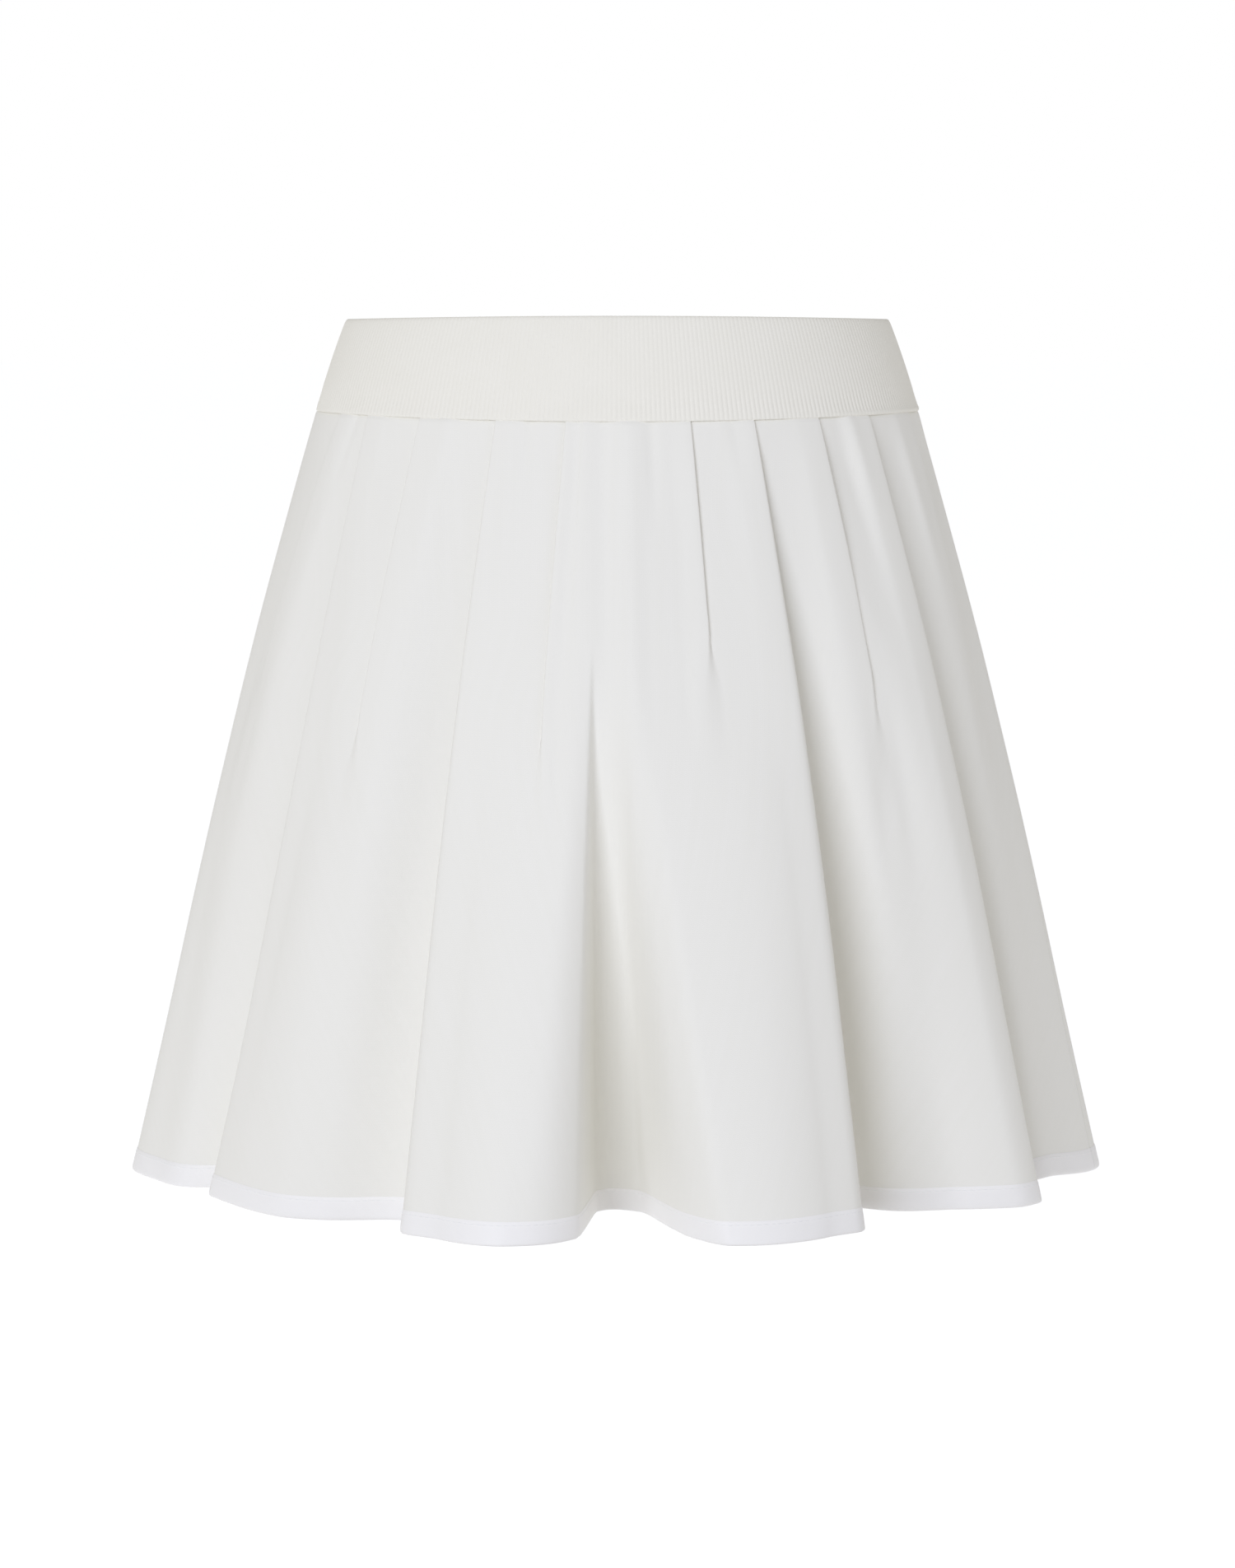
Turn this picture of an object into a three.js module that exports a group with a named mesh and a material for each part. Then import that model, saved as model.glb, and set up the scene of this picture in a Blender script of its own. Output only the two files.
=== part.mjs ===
// A flared, pleated knit skirt with a wide ribbed elastic waistband, hollow and open at both ends.
// It stands in the shape it has when it is worn. Millimetres, +Z up, the front faces -Y and +X is
// on the right in a front view. The origin is the centre of the waist opening, level with the rim.
import * as THREE from 'three';

// Outline of the filled skirt: half width and half depth of an oval at each drop below the rim.
const OUTLINE = [
  { drop: 0, halfWidth: 125.8, halfDepth: 93 },
  { drop: 20, halfWidth: 133, halfDepth: 98.5 },
  { drop: 48, halfWidth: 142, halfDepth: 105.5 },
  { drop: 83, halfWidth: 152.2, halfDepth: 113.5 },
  { drop: 145, halfWidth: 169.5, halfDepth: 129 },
  { drop: 208, halfWidth: 185.3, halfDepth: 144 },
  { drop: 270, halfWidth: 200, halfDepth: 158.5 },
  { drop: 332, halfWidth: 214, halfDepth: 172 },
  { drop: 404.5, halfWidth: 231, halfDepth: 188 },
];

const HEM_DROP = 404.5; // rim to the lower edge
const WAIST_SEAM_DROP = 47; // rim to the waist seam at centre front
const SEAM_SIDE_RISE = 3; // the waist seam is this much higher at the sides
const RIM_SIDE_DIP = 1.5; // the rim is this much lower at the sides
const SEAM_GAP = 0.3; // between pieces that are sewn edge to edge

const BAND_WALL = 3; // waistband, two layers of rib over an elastic
const BAND_INSET = 0.9; // the waistband's middle surface lies this far inside the outline
const RIM_WALL = 1.6; // the rolled rim narrows to this
const PANEL_WALL = 1.1; // skirt panels, one layer of double knit
const HEM_WALL = 2; // binding folded round the lower edge
const HEM_HEIGHT = 10.5;

// Cloth is counted in pleats. 0 is centre front and a pleat lies at each whole number but 11,
// which is centre back. The count runs up by the right, and below 0 or above 11 by the left.
const SIDE_SEAM = 5.5;
const CENTRE_BACK = 11;

// A pleat is cloth folded back under itself, with its visible fold edge away from the centre.
const PLEAT_REACH = 0.36; // half of the cloth that one fold takes up, in pleats
const PLEAT_LAP = 8; // how far the fold goes back under itself at the waist seam
const PLEAT_STEP = 4.2; // three layers, from the top one's middle to the lowest one's
const EDGE_HOLD = 1.4; // cloth shifts this far on both sides, to place the fold edge
const TURN = { length: 0.23, least: 0.08, most: 0.3 }; // of the cloth at a fold's edges
const OPEN_STEP = 14; // layers this much further apart than PLEAT_STEP no longer lie flat
const OPENING = { from: -0.18, to: 0.07 }; // a pleat that ends opens over these shares
const FLATTENING = { from: 0.01, to: 0.25 }; // and its layers sink together over these
const FLUTE_GROWTH = 1.5; // power of the drop by which flutes deepen
const VALLEY_GROWTH = 1.45; // the same for the centre valleys, from where they start
const MIDDLE = 0.4; // share of the drop at which the tables give a fold edge's middle angle

// Each pleat of a quarter, from its centre line to the side seam. seam, middle and hem are the
// fold edge's angles round the outline in degrees, at the waist seam, 40 % down and the hem.
// A pleat with ends opens out and is gone a little below that share of the drop. The others run
// to the hem as flute edges: lap is their overlap there, edge and valley are how far the fold
// edge and the valley behind it lie inside the outline. For a pleat that ends, after is how far
// inside the cloth beyond it lies. growth is the power by which it moves in, where that isn't
// FLUTE_GROWTH, and lift raises the hem there, or lowers it where it is below zero.
const FRONT_RIGHT = [
  { seam: 13.2, middle: 14.3, hem: 14.5, ends: 0.29, edge: 0, after: -2, lift: 0 },
  { seam: 25.4, middle: 28, hem: 29.7, lap: 10, edge: 6, valley: 76, lift: 1.4 },
  { seam: 39.8, middle: 43.4, hem: 46, ends: 0.36, edge: 51, after: 40, lift: -1.5, growth: 1.8 },
  { seam: 54, middle: 58.6, hem: 64.7, lap: 8, edge: 14, valley: 60, lift: -1 },
  { seam: 72.5, middle: 77, hem: 77, ends: 0.3, edge: 28, after: 20, lift: 3 },
];
const FRONT_LEFT = [
  { seam: 9.1, middle: 10.8, hem: 11, ends: 0.41, edge: 0, after: -2, lift: 0 },
  { seam: 22.5, middle: 24.3, hem: 26.2, lap: 10, edge: 12, valley: 44, lift: 0 },
  { seam: 39, middle: 41.5, hem: 44.5, ends: 0.4, edge: 30, after: 24, lift: -1.5, growth: 2.4 },
  { seam: 53.5, middle: 55, hem: 66.8, lap: 8, edge: 25, valley: 44, lift: 0 },
  { seam: 64, middle: 76, hem: 77, ends: 0.3, edge: 20, after: 12, lift: 0 },
];
const BACK_RIGHT = [
  { seam: 11.5, middle: 13, hem: 13.5, ends: 0.33, edge: 0, after: -2, lift: 0 },
  { seam: 24, middle: 26, hem: 27.5, lap: 8, edge: 12, valley: 50, lift: 0 },
  { seam: 40, middle: 41.5, hem: 43, ends: 0.38, edge: 30, after: 20, lift: 1, growth: 2.4 },
  { seam: 54.5, middle: 55, hem: 59, lap: 8, edge: 18, valley: 44, lift: 1 },
  { seam: 69, middle: 74, hem: 75, ends: 0.3, edge: 9, after: 4, lift: 0 },
];
const BACK_LEFT = [
  { seam: 12.5, middle: 13.5, hem: 14, ends: 0.36, edge: 0, after: -3, lift: 0 },
  { seam: 26, middle: 27.5, hem: 29, lap: 9, edge: 13, valley: 56, lift: 0 },
  { seam: 41, middle: 42, hem: 44, ends: 0.34, edge: 38, after: 26, lift: 1, growth: 2.4 },
  { seam: 55, middle: 56.5, hem: 60.5, lap: 8, edge: 16, valley: 40, lift: 2 },
  { seam: 71, middle: 75, hem: 74, ends: 0.3, edge: 12, after: 7, lift: 0 },
];

// The valleys at centre front and centre back start at a share of the drop and deepen to the
// hem. axis is the angle of a valley's line, counted from the centre line towards its quarter.
const FRONT_VALLEY = { depth: 88, starts: 0.27 };
const BACK_VALLEY = { depth: 70, starts: 0.3 };
const FRONT_AXIS = { seam: 3.9, middle: 2.9, hem: 0.6 };
const BACK_AXIS = { seam: 1.5, middle: 1.2, hem: 1 };
const FLOOR_FLATNESS = 0.93; // depth at the floor's ends, as a share of the depth in its middle

// On each side of a valley the floor ends at foot and the flute's crest begins at brow, in pleats,
// where the valley starts and at the hem. The flank between them is rounded at its shoulder: way
// is how far from foot to brow that is, and depth the share of the depth that is left there.
const FLANKS = {
  frontRight: { foot: [0.03, 0.28], brow: [0.36, 0.86], shoulder: { way: 0.62, depth: 0.21 } },
  frontLeft: { foot: [0.03, 0.28], brow: [0.42, 1], shoulder: { way: 0.22, depth: 0.22 } },
  backRight: { foot: [0.02, 0.2], brow: [0.4, 0.86], shoulder: { way: 0.58, depth: 0.24 } },
  backLeft: { foot: [0.02, 0.24], brow: [0.4, 0.84], shoulder: { way: 0.5, depth: 0.3 } },
};

const turned = ({ seam, middle, hem }) => ({ seam: -seam, middle: -middle, hem: -hem });

// crest is how far past the side seam the side flute stands out most, in pleats.
const QUARTERS = {
  frontRight: { folds: FRONT_RIGHT, valley: FRONT_VALLEY, axis: turned(FRONT_AXIS), crest: 0.16 },
  frontLeft: { folds: FRONT_LEFT, valley: FRONT_VALLEY, axis: FRONT_AXIS, crest: 0.06 },
  backRight: { folds: BACK_RIGHT, valley: BACK_VALLEY, axis: BACK_AXIS, crest: -0.16 },
  backLeft: { folds: BACK_LEFT, valley: BACK_VALLEY, axis: turned(BACK_AXIS), crest: -0.06 },
};
Object.entries(FLANKS).forEach(([name, flank]) => Object.assign(QUARTERS[name], flank));
QUARTERS.frontRight.next = QUARTERS.backRight;
QUARTERS.frontLeft.next = QUARTERS.backLeft;
QUARTERS.backRight.next = QUARTERS.frontRight;
QUARTERS.backLeft.next = QUARTERS.frontLeft;

const IVORY = '#e7e6e2';
const WHITE = '#f3f3f5';

const radians = THREE.MathUtils.degToRad;
const mix = THREE.MathUtils.lerp;
const clamp = THREE.MathUtils.clamp;
const smoothstep = THREE.MathUtils.smoothstep;

// A curve through knots that never overshoots them. It is level at both ends and where a knot
// says that the cloth lies flat.
function curve(knots, x) {
  const last = knots.length - 1;
  const slopes = knots.map(() => 0);
  for (let i = 1; i < last; i += 1) {
    const before = (knots[i].y - knots[i - 1].y) / (knots[i].x - knots[i - 1].x);
    const after = (knots[i + 1].y - knots[i].y) / (knots[i + 1].x - knots[i].x);
    const slope = before * after > 0 ? (2 * before * after) / (before + after) : 0;
    slopes[i] = slope * (1 - knots[i].flat);
  }
  return hermite(knots, slopes, x);
}

function hermite(knots, slopes, x) {
  let i = 0;
  while (i < knots.length - 2 && x > knots[i + 1].x) i += 1;
  const width = knots[i + 1].x - knots[i].x;
  const u = (x - knots[i].x) / width;
  const rise = u * u * (3 - 2 * u);
  return mix(knots[i].y, knots[i + 1].y, rise)
    + width * u * (1 - u) * (slopes[i] * (1 - u) - slopes[i + 1] * u);
}

// Half width and half depth of the outline at a height; beyond the last section it runs on.
function outline(z) {
  const drop = clamp(-z, 0, HEM_DROP);
  let i = 0;
  while (i < OUTLINE.length - 2 && drop > OUTLINE[i + 1].drop) i += 1;
  const read = (key) => {
    const knots = OUTLINE.map((section) => ({ x: section.drop, y: section[key] }));
    return hermite(knots, tangents(knots), drop);
  };
  return { halfWidth: read('halfWidth'), halfDepth: read('halfDepth') };
}

// Slopes for a smooth curve through knots that keeps its direction at both ends.
function tangents(knots) {
  const last = knots.length - 1;
  return knots.map((knot, i) => {
    const low = knots[Math.max(i - 1, 0)];
    const high = knots[Math.min(i + 1, last)];
    return (high.y - low.y) / (high.x - low.x);
  });
}

// An angle given at the waist seam, MIDDLE and the hem, on one parabola.
function alongDrop({ seam, middle, hem }, share) {
  return radians(
    (seam * (share - MIDDLE) * (share - 1)) / MIDDLE
      - (middle * share * (share - 1)) / (MIDDLE * (1 - MIDDLE))
      + (hem * share * (share - MIDDLE)) / (1 - MIDDLE),
  );
}

// How cloth is drawn back along itself through a fold, tau from -1 to 1: 0 and level at both
// ends, steepest in the middle, where it runs backwards.
const DRAW_TOP = 0.6; // about its highest value
function drawBack(tau) {
  const angle = Math.PI * clamp(tau, -1, 1);
  return (Math.sin(angle) * (1 + Math.cos(angle))) / 2;
}

// A fold at a share of the drop, where a pleat of cloth covers perPleat mm of the outline.
// top is how far inside the outline the cloth before it lies and step the drop to the cloth
// behind it. drawn is how hard it is drawn back, and turnAt where it then turns, as a share of
// PLEAT_REACH. turn is half of a turn's length, and flat is 1 where the layers lie flat.
function foldAt(fold, share, perPleat) {
  const grown = share ** (fold.growth ?? FLUTE_GROWTH);
  const top = fold.edge * grown;
  let step = mix(PLEAT_STEP, fold.valley - fold.edge, grown);
  let flat = 1 - smoothstep(step, PLEAT_STEP + 1, PLEAT_STEP + OPEN_STEP);
  let lap = mix(PLEAT_LAP, fold.lap, share);
  let closed = 1;
  if (fold.ends) {
    flat = 1 - smoothstep(share, fold.ends + FLATTENING.from, fold.ends + FLATTENING.to);
    step = PLEAT_STEP * flat + (fold.after - fold.edge) * grown;
    lap = PLEAT_LAP;
    closed = 1 - smoothstep(share, fold.ends + OPENING.from, fold.ends + OPENING.to);
  }
  const reach = PLEAT_REACH * perPleat;
  const drawn = (closed * (lap / 2 + reach / 4)) / DRAW_TOP;
  // The cloth turns where drawBack is as steep as the cloth runs forward.
  const cosine = drawn > 0 ? (Math.sqrt(9 + (16 * reach) / (Math.PI * drawn)) - 1) / 4 : 1;
  const turnAt = cosine < 1 ? Math.acos(cosine) / Math.PI : 0;
  const roundness = drawn > 0 ? Math.sqrt(Math.abs(step) / drawn) : Infinity;
  const turn = clamp(TURN.length * roundness, TURN.least, TURN.most);
  const overhang = drawn * drawBack(turnAt) - reach * turnAt;
  return { top, step, flat, drawn, turnAt, turn, overhang };
}

// Everything about one quarter at a share of the drop from the waist seam to the hem.
const sections = new Map();
function sectionOf(quarter, share) {
  if (!sections.has(quarter)) sections.set(quarter, new Map());
  const known = sections.get(quarter);
  if (!known.has(share)) known.set(share, makeSection(quarter, share));
  return known.get(share);
}

function makeSection(quarter, share) {
  const { folds, valley, axis, shoulder, crest, next } = quarter;
  const down = clamp(share, 0, 1);
  const { halfWidth, halfDepth } = outline(mix(-WAIST_SEAM_DROP, -HEM_DROP, share));
  const beyond = next.folds.at(-1); // past the side seam the next quarter carries the curves on
  const mirrored = CENTRE_BACK - folds.length;

  const angles = [{ x: 0, y: alongDrop(axis, down) }];
  folds.forEach((fold, i) => angles.push({ x: i + 1, y: alongDrop(fold, down) }));
  angles.push({ x: SIDE_SEAM, y: Math.PI / 2 });
  angles.push({ x: mirrored, y: Math.PI - alongDrop(beyond, down) });
  const turning = tangents(angles);
  const stateOf = (fold, i) => {
    const angle = angles[i].y;
    const arc = Math.hypot(halfWidth * Math.cos(angle), halfDepth * Math.sin(angle));
    return foldAt(fold, down, turning[i] * arc);
  };
  const states = folds.map((fold, i) => stateOf(fold, i + 1));
  const beyondState = stateOf(beyond, angles.length - 1);

  const started = clamp((down - valley.starts) / (1 - valley.starts), 0, 1);
  const floor = valley.depth * started ** VALLEY_GROWTH;
  const foot = mix(...quarter.foot, started);
  const brow = mix(...quarter.brow, started);
  const insets = [
    { x: 0, y: floor, flat: 0 },
    { x: foot, y: FLOOR_FLATNESS * floor, flat: 0 },
    { x: mix(foot, brow, shoulder.way), y: shoulder.depth * floor, flat: 0 },
  ];
  states.forEach(({ top, step, flat }, i) => {
    insets.push({ x: i === 0 ? brow : i + 1 - PLEAT_REACH / 2, y: top, flat });
    insets.push({ x: i + 1 + PLEAT_REACH / 2, y: top + step, flat });
  });
  const { top, step, flat } = beyondState;
  insets.push({ x: SIDE_SEAM + crest, y: 0, flat: 0 });
  insets.push({ x: mirrored - PLEAT_REACH / 2, y: top + step, flat });
  insets.push({ x: mirrored + PLEAT_REACH / 2, y: top, flat });

  const lifts = [{ x: 0, y: 0, flat: 0 }];
  folds.forEach((fold, i) => {
    lifts.push({ x: i + 1, y: fold.lift * down ** FLUTE_GROWTH, flat: 0 });
  });
  lifts.push({ x: SIDE_SEAM, y: 0, flat: 0 });
  return { share, angles, turning, states, insets, lifts };
}

// A point of the skirt's middle surface in one quarter, u pleats from its centre line. x is away
// from the centre line and depth is towards the front or the back.
function quarterPoint(section, u) {
  const { share, angles, turning, states, insets, lifts } = section;
  let angle = hermite(angles, turning, u);
  let inset = curve(insets, u);
  const roughly = outline(mix(-WAIST_SEAM_DROP, -HEM_DROP, share));
  const arc = Math.hypot(roughly.halfWidth * Math.cos(angle), roughly.halfDepth * Math.sin(angle));
  states.forEach(({ top: before, step, flat, drawn, turnAt, turn, overhang }, i) => {
    const tau = (u - i - 1) / PLEAT_REACH;
    if (Math.abs(tau) >= EDGE_HOLD) return;
    const hold = (1 + Math.cos((Math.PI * tau) / EDGE_HOLD)) / 2;
    angle -= (drawn * drawBack(tau) + overhang * hold) / arc;
    if (Math.abs(tau) >= 0.5) return;
    // Where the layers lie flat the cloth steps down at its two turns, half at each.
    const stepped = (smoothstep(tau, -turnAt - turn, -turnAt + turn)
      + smoothstep(tau, turnAt - turn, turnAt + turn)) / 2;
    inset = mix(inset, before + step * stepped, flat);
  });

  const seamZ = -WAIST_SEAM_DROP + SEAM_SIDE_RISE * Math.sin(angle) ** 2;
  const z = mix(seamZ, -HEM_DROP + curve(lifts, u), share);
  const { halfWidth, halfDepth } = outline(z);
  const across = halfDepth * Math.sin(angle);
  const along = halfWidth * Math.cos(angle);
  const length = Math.hypot(across, along);
  return {
    x: halfWidth * Math.sin(angle) - (inset * across) / length,
    depth: halfDepth * Math.cos(angle) - (inset * along) / length,
    z,
  };
}

// Which quarter a count of pleats round the skirt falls in, and how far from its centre line.
function placeOf(pleats) {
  const round = pleats > CENTRE_BACK ? pleats - 2 * CENTRE_BACK : pleats;
  const right = round >= 0;
  const front = Math.abs(round) <= SIDE_SEAM;
  const quarter = QUARTERS[`${front ? 'front' : 'back'}${right ? 'Right' : 'Left'}`];
  const u = front ? Math.abs(round) : CENTRE_BACK - Math.abs(round);
  return { quarter, u, right, front };
}

// A point of the skirt's middle surface in its own frame.
function skirtPoint(pleats, share) {
  const { quarter, u, right, front } = placeOf(pleats);
  const { x, depth, z } = quarterPoint(sectionOf(quarter, share), u);
  return new THREE.Vector3(right ? x : -x, front ? -depth : depth, z);
}

// A point of the waistband's middle surface, at a turn of 0 to 1 from centre front by the
// right, and a share of its height from the rim to the waist seam.
function bandPoint(turn, share) {
  const angle = 2 * Math.PI * turn;
  const side = Math.sin(angle) ** 2;
  const rimZ = -RIM_SIDE_DIP * side;
  const seamZ = -WAIST_SEAM_DROP + SEAM_SIDE_RISE * side + SEAM_GAP;
  const z = mix(rimZ, seamZ, share);
  const { halfWidth, halfDepth } = outline(z);
  return new THREE.Vector3(
    (halfWidth - BAND_INSET) * Math.sin(angle),
    -(halfDepth - BAND_INSET) * Math.cos(angle),
    z,
  );
}

// The outward direction of a section, level, so that a wall's edges stay at their height.
function outwards(point, at, share) {
  const near = 1e-3;
  const along = point(at + near, share).sub(point(at - near, share));
  return new THREE.Vector3(along.y, -along.x, 0).normalize();
}

// A closed wall round a middle surface. Rows run down, each at a share of the drop with its
// own thickness, and columnsAt gives the places round it at a share. A ring joins its last
// column to its first.
function wall(point, columnsAt, rows, ring) {
  const positions = [];
  [0.5, -0.5].forEach((side) => {
    rows.forEach((row) => {
      columnsAt(row.share).forEach((column) => {
        const offset = outwards(point, column, row.share).multiplyScalar(side * row.wall);
        positions.push(...point(column, row.share).add(offset).toArray());
      });
    });
  });
  const across = columnsAt(rows[0].share).length;
  const downTo = rows.length;
  const outer = (i, j) => j * across + (i % across);
  const inner = (i, j) => outer(i, j) + across * downTo;
  const index = [];
  const quad = (a, b, c, d) => index.push(a, b, c, a, c, d);
  const spans = ring ? across : across - 1;
  for (let i = 0; i < spans; i += 1) {
    for (let j = 0; j < downTo - 1; j += 1) {
      quad(outer(i, j), outer(i, j + 1), outer(i + 1, j + 1), outer(i + 1, j));
      quad(inner(i, j), inner(i + 1, j), inner(i + 1, j + 1), inner(i, j + 1));
    }
    quad(outer(i, 0), outer(i + 1, 0), inner(i + 1, 0), inner(i, 0));
    const end = downTo - 1;
    quad(outer(i, end), inner(i, end), inner(i + 1, end), outer(i + 1, end));
  }
  if (!ring) {
    const end = across - 1;
    for (let j = 0; j < downTo - 1; j += 1) {
      quad(outer(0, j), inner(0, j), inner(0, j + 1), outer(0, j + 1));
      quad(outer(end, j), outer(end, j + 1), inner(end, j + 1), inner(end, j));
    }
  }
  const geometry = new THREE.BufferGeometry();
  geometry.setAttribute('position', new THREE.Float32BufferAttribute(positions, 3));
  geometry.setIndex(index);
  geometry.computeVertexNormals();
  return geometry;
}

function piece(name, geometry, color, roughness) {
  const material = new THREE.MeshStandardMaterial({ color, roughness, metalness: 0 });
  const mesh = new THREE.Mesh(geometry, material);
  mesh.name = name;
  return mesh;
}

// Places across a panel. Three follow each of a fold's two turns, from its start to its end, and
// one lies past it. A centre valley has five.
const FOLD_COLUMNS = { innermost: 0.02, innerMiddle: 0.05, outer: 0.5, past: 0.95 };
const VALLEY_COLUMNS = [-0.5, -0.22, 0, 0.22, 0.5];

function foldColumns(at, share) {
  const { quarter } = placeOf(at);
  const pleat = Math.abs(at > CENTRE_BACK ? at - 2 * CENTRE_BACK : at);
  const i = Math.min(pleat, CENTRE_BACK - pleat) - 1;
  const { turnAt, turn } = sectionOf(quarter, share).states[i];
  const half = [
    Math.max(turnAt - turn, FOLD_COLUMNS.innermost),
    Math.max(turnAt, FOLD_COLUMNS.innerMiddle),
    Math.min(turnAt + turn, FOLD_COLUMNS.outer),
    FOLD_COLUMNS.past,
  ];
  return [...half.map((tau) => -tau).reverse(), ...half].map((tau) => at + tau * PLEAT_REACH);
}

function panelColumns(first, last, share) {
  const columns = [first];
  for (let at = Math.ceil(first); at <= last; at += 1) {
    if (at % CENTRE_BACK === 0) {
      columns.push(...VALLEY_COLUMNS.map((offset) => at + offset));
    } else {
      columns.push(...foldColumns(at, share));
    }
  }
  return [...columns, last];
}

const DROP = HEM_DROP - WAIST_SEAM_DROP;
const HEM_STARTS = 1 - HEM_HEIGHT / DROP;
const GAP_SHARE = SEAM_GAP / DROP;
const PANEL_SHARES = [0, 0.07, 0.15, 0.23, 0.31, 0.39, 0.5, 0.65, 0.82, HEM_STARTS - GAP_SHARE / 2];
const HEM_SHARES = [HEM_STARTS + GAP_SHARE / 2, 1];
const SIDE_GAP = 0.0022; // half of the gap at a side seam, in pleats

const BAND_COLUMNS = 88;
const bandTurns = Array.from({ length: BAND_COLUMNS }, (_, i) => i / BAND_COLUMNS);
const bandRows = [
  { share: 0, wall: RIM_WALL },
  { share: 0.03, wall: BAND_WALL },
  { share: 0.5, wall: BAND_WALL },
  { share: 1, wall: BAND_WALL },
];

const skirt = new THREE.Group();
skirt.add(piece('waistband', wall(bandPoint, () => bandTurns, bandRows, true), IVORY, 0.9));

[
  { side: 'front', from: -SIDE_SEAM, to: SIDE_SEAM },
  { side: 'back', from: SIDE_SEAM, to: 2 * CENTRE_BACK - SIDE_SEAM },
].forEach(({ side, from, to }) => {
  const columns = (share) => panelColumns(from + SIDE_GAP, to - SIDE_GAP, share);
  const panelRows = PANEL_SHARES.map((share) => ({ share, wall: PANEL_WALL }));
  const hemRows = HEM_SHARES.map((share) => ({ share, wall: HEM_WALL }));
  skirt.add(piece(`skirt_${side}`, wall(skirtPoint, columns, panelRows, false), IVORY, 0.85));
  skirt.add(piece(`hem_${side}`, wall(skirtPoint, columns, hemRows, false), WHITE, 0.6));
});

export default skirt;
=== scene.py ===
import math

import bpy
import numpy as np
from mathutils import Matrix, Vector


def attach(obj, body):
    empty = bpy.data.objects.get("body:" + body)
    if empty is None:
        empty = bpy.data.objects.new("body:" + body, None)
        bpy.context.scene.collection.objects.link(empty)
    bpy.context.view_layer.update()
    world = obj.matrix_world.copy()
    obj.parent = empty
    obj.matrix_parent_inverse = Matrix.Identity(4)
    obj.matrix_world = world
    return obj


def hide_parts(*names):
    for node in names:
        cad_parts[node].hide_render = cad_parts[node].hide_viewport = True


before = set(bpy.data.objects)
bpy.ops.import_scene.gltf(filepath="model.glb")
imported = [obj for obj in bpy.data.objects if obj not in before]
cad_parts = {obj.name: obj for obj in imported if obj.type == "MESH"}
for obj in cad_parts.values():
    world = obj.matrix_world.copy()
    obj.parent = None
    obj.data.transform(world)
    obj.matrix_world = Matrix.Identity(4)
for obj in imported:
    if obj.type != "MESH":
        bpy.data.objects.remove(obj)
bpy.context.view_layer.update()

# ---------------------------------------------------------------------------------------------
# Skirt panels, front and back.
# Each is one length of fine ivory double knit, folded into ten knife pleats that are caught in the
# waist seam, and sewn to the other panel at the sides. Below the hips four of them open into deep
# flutes that run to the hem, and the rest end. Sizes are in millimetres until the mesh.

# The filled skirt's outline: drop below the rim, half width and half depth of an oval there.
OUTLINE = np.array([
    (0, 125.8, 93), (20, 133, 98.5), (48, 142, 105.5), (83, 152.2, 113.5), (145, 169.5, 129),
    (208, 185.3, 144), (270, 200, 158.5), (332, 214, 172), (404.5, 231, 188),
])
HEM_DROP = 404.5       # rim to the lower edge
WAIST_SEAM_DROP = 47   # rim to the waist seam at centre front
SEAM_SIDE_RISE = 3     # the waist seam is this much higher at the sides
SEAM_GAP = 0.3         # between the waistband's lower edge and the waist seam
DROP = HEM_DROP - WAIST_SEAM_DROP
PANEL_WALL = 0.7       # one layer of knit

# Cloth is counted in pleats: 0 is centre front, the side seams are at 5.5 and centre back at 11.
SIDE_SEAM = 5.5
CENTRE_BACK = 11
PLEAT_REACH = 0.36     # half of the cloth that a fold takes up, in pleats
PLEAT_LAP = 8          # how far a fold goes back under itself at the waist seam
PLEAT_STEP = 2.1       # three layers, from the top one's middle to the lowest one's
PRESSED_STEP = 1.3     # the same where the waist seam presses them
TUCKED_IN = 1.3        # the panel's top edge lies this far inside the outline, in the waistband
TUCKED_UP = 3          # and this far above the waist seam
TUCKED_FROM = 0.8      # and it begins to turn in this far below the seam
EDGE_HOLD = 1.4        # cloth shifts this far on both sides, to place the fold edge
OPEN_STEP = 14         # layers this much further apart no longer lie flat
FLUTE_GROWTH = 1.5     # power of the drop by which flutes deepen
VALLEY_GROWTH = 1.45   # the same for the centre valleys
FLOOR_FLATNESS = 0.93  # share of a centre valley's depth that is left at its foot
MIDDLE = 0.4           # share of the drop at which "middle" is given
SEAM_SOFTENS = 0.06    # share of the drop over which pressed layers ease apart
CLOSES_FROM = 0.18     # a pleat that ends starts to close this far above its end, as a share
CLOSED_BY = 0.07       # and has no overlap this far below it
OPENS_FROM = 0.01      # its layers start to part this far below its end
OPENED_BY = 0.25       # and lie as one piece of cloth this far below it
EDGE_DRAWN = 0.6       # a fold edge hangs over by about this share of the length drawn back
TURN_GROWTH = 0.23     # a turn widens with the root of its step over the length drawn back
TURN_SIZES = 0.08, 0.3     # half the width of the narrowest and widest turn, in PLEAT_REACHes
FOLD_FADES = 0.5, 0.62     # there, in the same measure, the layers' shape gives way to the flutes'

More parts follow.
